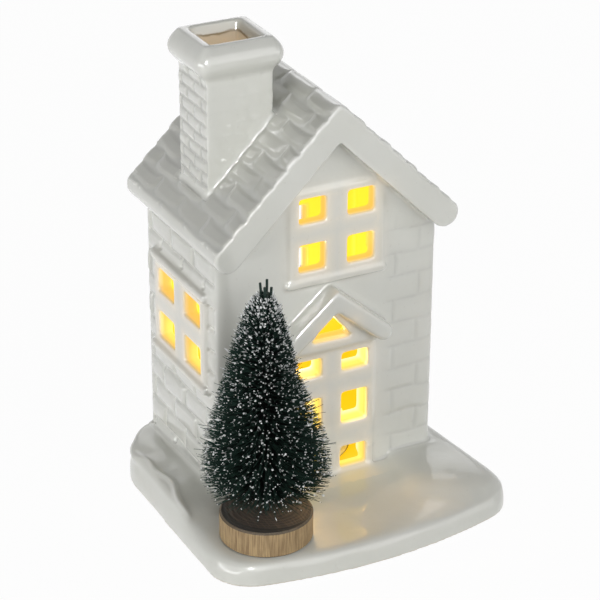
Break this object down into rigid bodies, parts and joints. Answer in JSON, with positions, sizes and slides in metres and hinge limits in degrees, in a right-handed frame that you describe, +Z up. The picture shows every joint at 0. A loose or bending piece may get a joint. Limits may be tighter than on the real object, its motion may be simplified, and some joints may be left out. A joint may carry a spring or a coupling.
{
  "type": "ceramic christmas village house",
  "caption": "Glazed ceramic cottage with gabled shingle roof, chimney and porch on a snow base, lit from inside by a pull-out battery light, with a bottle-brush tree.",
  "frame": {"origin": "on the ground, under the middle of the whole piece's box", "axes": "+Z up, the door faces -Y, +X to the right as seen from the front"},
  "size_m": [0.1062, 0.104, 0.1574],
  "materials": {
    "white_glaze": "glossy",
    "wood_slice": "sawn",
    "green_wire": "satin",
    "green_bristle": "matte",
    "housing_plastic": "satin",
    "plug_rubber": "matte",
    "board_laminate": "satin",
    "lamp_resin": "clear",
    "tinned_steel": "tinned",
    "resistor_lacquer": "lacquer",
    "frosted_plastic": "frosted",
    "cell_steel": "brushed",
    "screw_steel": "zinc plated",
    "slider_plastic": "matte"
  },
  "bodies": {
    "house": {"snow_base": "white_glaze", "front_wall": "white_glaze", "right_wall": "white_glaze", "back_wall": "white_glaze", "left_wall": "white_glaze", "left_roof": "white_glaze", "right_roof": "white_glaze", "chimney": "white_glaze", "porch": "white_glaze", "tree_disc": "wood_slice", "tree_stem": "green_wire", "bristles_lower": "green_bristle", "bristles_middle": "green_bristle", "bristles_upper": "green_bristle"},
    "light_unit": {"unit_base": "housing_plastic", "unit_cap": "housing_plastic", "plug_ring": "plug_rubber", "circuit_board": "board_laminate", "led": "lamp_resin", "led_leads": "tinned_steel", "resistor": "resistor_lacquer", "light_diffuser": "frosted_plastic", "switch_body": "tinned_steel", "coin_cell": "cell_steel", "negative_contact": "tinned_steel", "positive_contact": "tinned_steel"},
    "battery_cover": {"battery_cover": "housing_plastic"},
    "cover_screw": {"cover_screw": "screw_steel"},
    "switch_slider": {"switch_slider": "slider_plastic"}
  },
  "joints": [
    {"name": "light_pull", "type": "slide", "parent": "house", "child": "light_unit", "axis": [0, 0, -1], "range_m": [0, 0.034]},
    {"name": "cover_lift", "type": "slide", "parent": "light_unit", "child": "battery_cover", "axis": [0, 0, -1], "range_m": [0, 0.012]},
    {"name": "screw_turn", "type": "hinge", "parent": "battery_cover", "child": "cover_screw", "pos_m": [0.01045, 0.00925, 0.0014], "axis": [0, 0, -1], "continuous": true},
    {"name": "switch_slide", "type": "slide", "parent": "light_unit", "child": "switch_slider", "axis": [0, 1, 0], "range_m": [0, 0.0025]}
  ]
}
